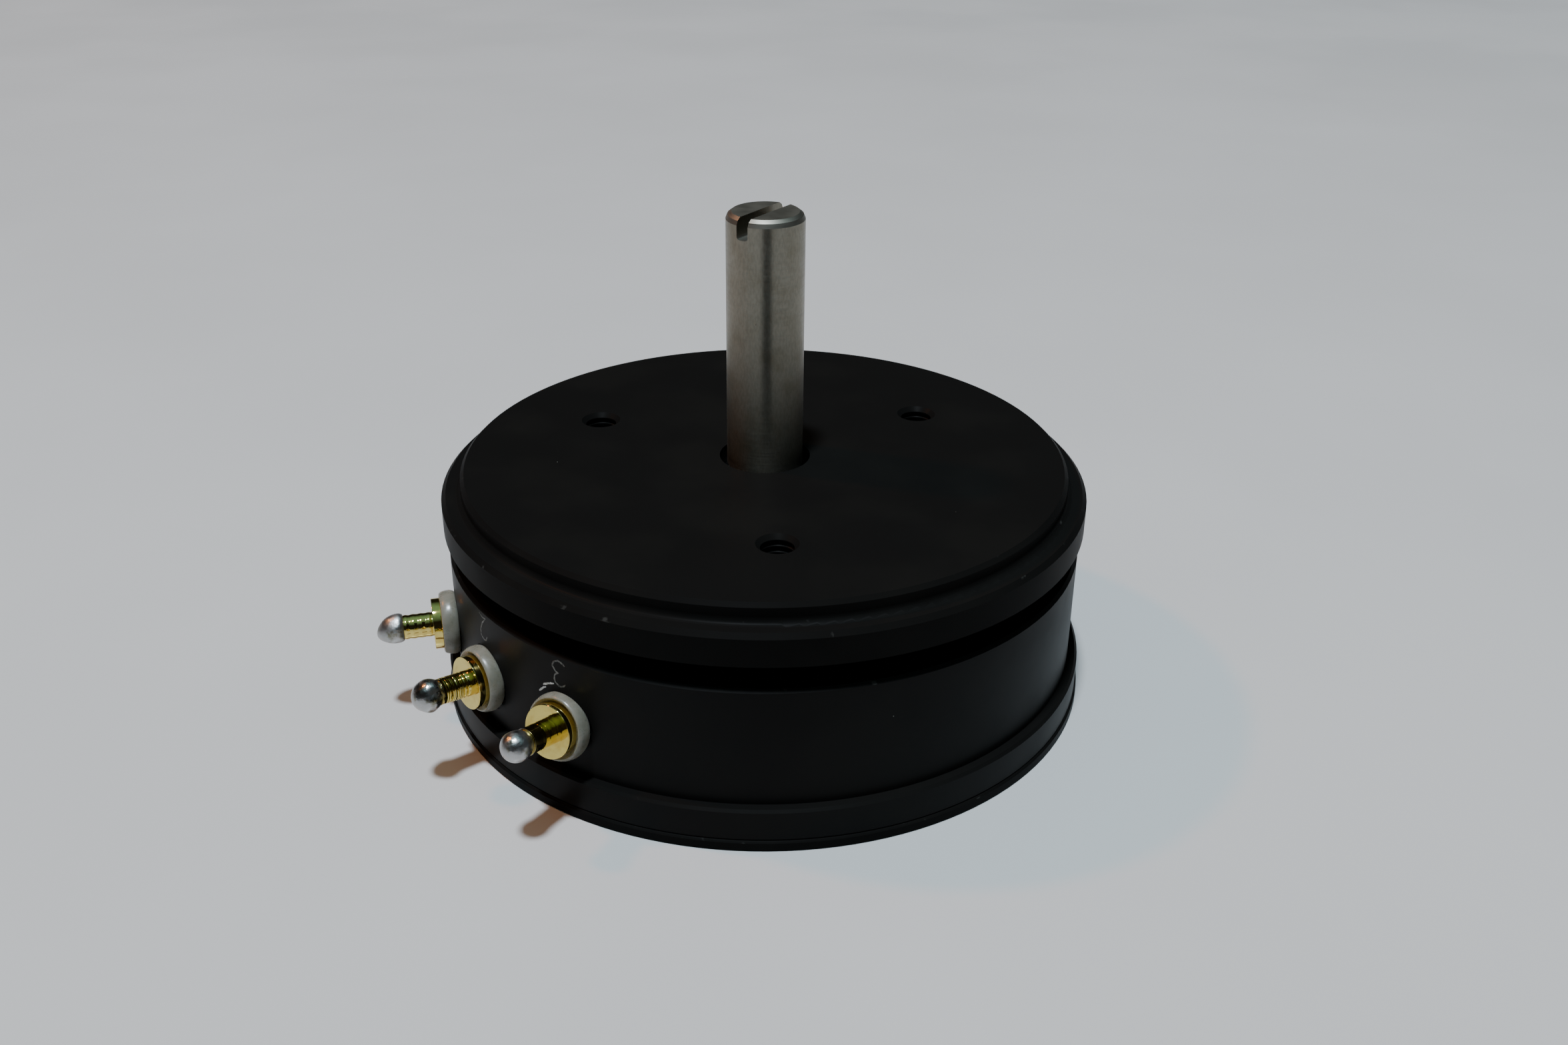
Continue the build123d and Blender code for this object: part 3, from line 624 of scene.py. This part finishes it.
faint = (0.035, 0.036, 0.033), (0.17, 0.17, 0.155)
# Bright colours of the chips: bare metal with painted glints of the recess edge
bright = (0.4, 0.4, 0.38), (0.7, 0.7, 0.68)
bright_chip = bare_metal("bright_chip", *bright, 0.2 * mm, (0.3, 0.4))
scratched = bare_metal("scratched_metal", *faint, 0.16 * mm, (0.4, 0.6), metallic=0.4)
digit_height, digit_rise, digit_shift = 2.1 * mm, 4.2 * mm, math.radians(0.3)
# Arcs of the chips with painted glints, around the recess of terminal 3
glinting_chips = (3.22 * mm, 103, 124), (3.0 * mm, 121, 139)
rng = random.Random(7)
row_height = terminals[0].seat.z + digit_rise
for terminal in terminals:
    azimuth = math.atan2(terminal.seat.y, terminal.seat.x)
    digit(terminal.number, azimuth - digit_shift, row_height, digit_height, rng)
chipped_edge_glints(terminals[2], glinting_chips, rng)

# ---------------------------------------------------------------- floor, light and camera


def sheet(name, half_size, segments, material):
    """A square sheet that lies flat around the origin."""
    mesh = bmesh.new()
    bmesh.ops.create_grid(mesh, x_segments=segments, y_segments=segments, size=half_size)
    data = bpy.data.meshes.new(name)
    mesh.to_mesh(data)
    mesh.free()
    data.materials.append(material)
    made = bpy.data.objects.new(name, data)
    bpy.context.scene.collection.objects.link(made)
    return made


def add_floor():
    """A pale, slightly glossy table top."""
    pale = (0.590, 0.583, 0.575), (0.605, 0.598, 0.59)
    surface = varied("floor", *pale, 40 * mm, (0.24, 0.3), 0.0, 1 * mm, specular_ior_level=0.22)
    floor = sheet("floor", 3.0, 8, surface.material)


def add_light(name, azimuth, elevation, distance, size, power, colour):
    """A round soft light that points at the part, placed by its direction from the part in degrees."""
    data = bpy.data.lights.new(name, "AREA")
    data.shape = "DISK"
    data.size = size
    data.energy = power
    data.color = colour
    light = bpy.data.objects.new(name, data)
    a, e = math.radians(azimuth), math.radians(elevation)
    away = Vector((math.cos(e) * math.cos(a), math.cos(e) * math.sin(a), math.sin(e)))
    aim = away.to_track_quat("Z", "Y").to_matrix().to_4x4()
    light.matrix_world = Matrix.Translation(away * distance) @ aim
    bpy.context.scene.collection.objects.link(light)


def add_surroundings():
    """A room that is dim near the horizon and brighter overhead."""
    world = bpy.data.worlds.new("room")
    world.use_nodes = True
    tree = world.node_tree
    direction = tree.nodes.new("ShaderNodeTexCoord").outputs["Generated"]
    parts = tree.nodes.new("ShaderNodeSeparateXYZ")
    ramp = tree.nodes.new("ShaderNodeValToRGB")
    tree.links.new(direction, parts.inputs[0])
    tree.links.new(parts.outputs[2], ramp.inputs[0])
    dim, bright_above = (0.6, (0.014, 0.014, 0.013, 1)), (0.95, (0.20, 0.38, 0.40, 1))
    for stop, (position, colour) in zip(ramp.color_ramp.elements, (dim, bright_above)):
        stop.position = position
        stop.color = colour
    tree.links.new(ramp.outputs[0], tree.nodes["Background"].inputs[0])
    bpy.context.scene.world = world


def add_camera():
    """The view from in front, a little to the left, looking down at the part."""
    stand_off, height = 113.845 * mm, 70.636 * mm
    turn, yaw, pitch, roll = (math.radians(a) for a in (-3.4, 0.796, 26.958, 0.538))
    forward = Vector((math.sin(yaw) * math.cos(pitch), math.cos(yaw) * math.cos(pitch), -math.sin(pitch)))
    level = Vector((math.cos(yaw), -math.sin(yaw), 0))
    above = level.cross(forward)
    right = math.cos(roll) * level + math.sin(roll) * above
    up = math.cos(roll) * above - math.sin(roll) * level
    axes = Matrix((right, up, -forward)).transposed().to_4x4()
    data = bpy.data.cameras.new("camera")
    data.lens = 35.886
    data.sensor_width = 36
    data.clip_start = 0.005
    camera = bpy.data.objects.new("camera", data)
    seat = Matrix.Translation((0, -stand_off, height))
    camera.matrix_world = Matrix.Rotation(turn, 4, "Z") @ seat @ axes
    bpy.context.scene.collection.objects.link(camera)
    bpy.context.scene.camera = camera


def add_shaft_shade_card():
    """A narrow black card in front of the part, which only reflections see: a painted dark reflection down
    the middle of the shaft, standing in for the lens and the shaded floor in front of the part.
    """
    black = (0.002, 0.002, 0.002), (0.003, 0.003, 0.003)
    surface = varied("black_card", *black, 20 * mm, (0.8, 0.9), 0.0, 10 * mm)
    card = sheet("lens_shade", 0.5, 2, surface.material)
    centre, width, height = (1.2 * mm, -50 * mm, 45 * mm), 23 * mm, 90 * mm
    upright = Matrix.Rotation(math.pi / 2, 4, "X")
    card.matrix_world = Matrix.Translation(centre) @ upright @ Matrix.Diagonal((width, height, 1, 1))
    # Hidden from all but glossy rays, the card only paints a dark reflection band on the shaft
    for ray in ("camera", "shadow", "diffuse"):
        setattr(card, f"visible_{ray}", False)


add_floor()
add_surroundings()
overhead = {"azimuth": -117, "elevation": 79, "distance": 3.2, "size": 0.3, "power": 130}
warm = {"azimuth": 158.6, "elevation": 50.3, "distance": 1.6, "size": 0.12, "power": 6.3}
add_light("overhead_lamp", colour=(0.79, 0.90, 1.0), **overhead)
add_light("warm_lamp", colour=(1.0, 0.30, 0.03), **warm)
add_shaft_shade_card()
add_camera()
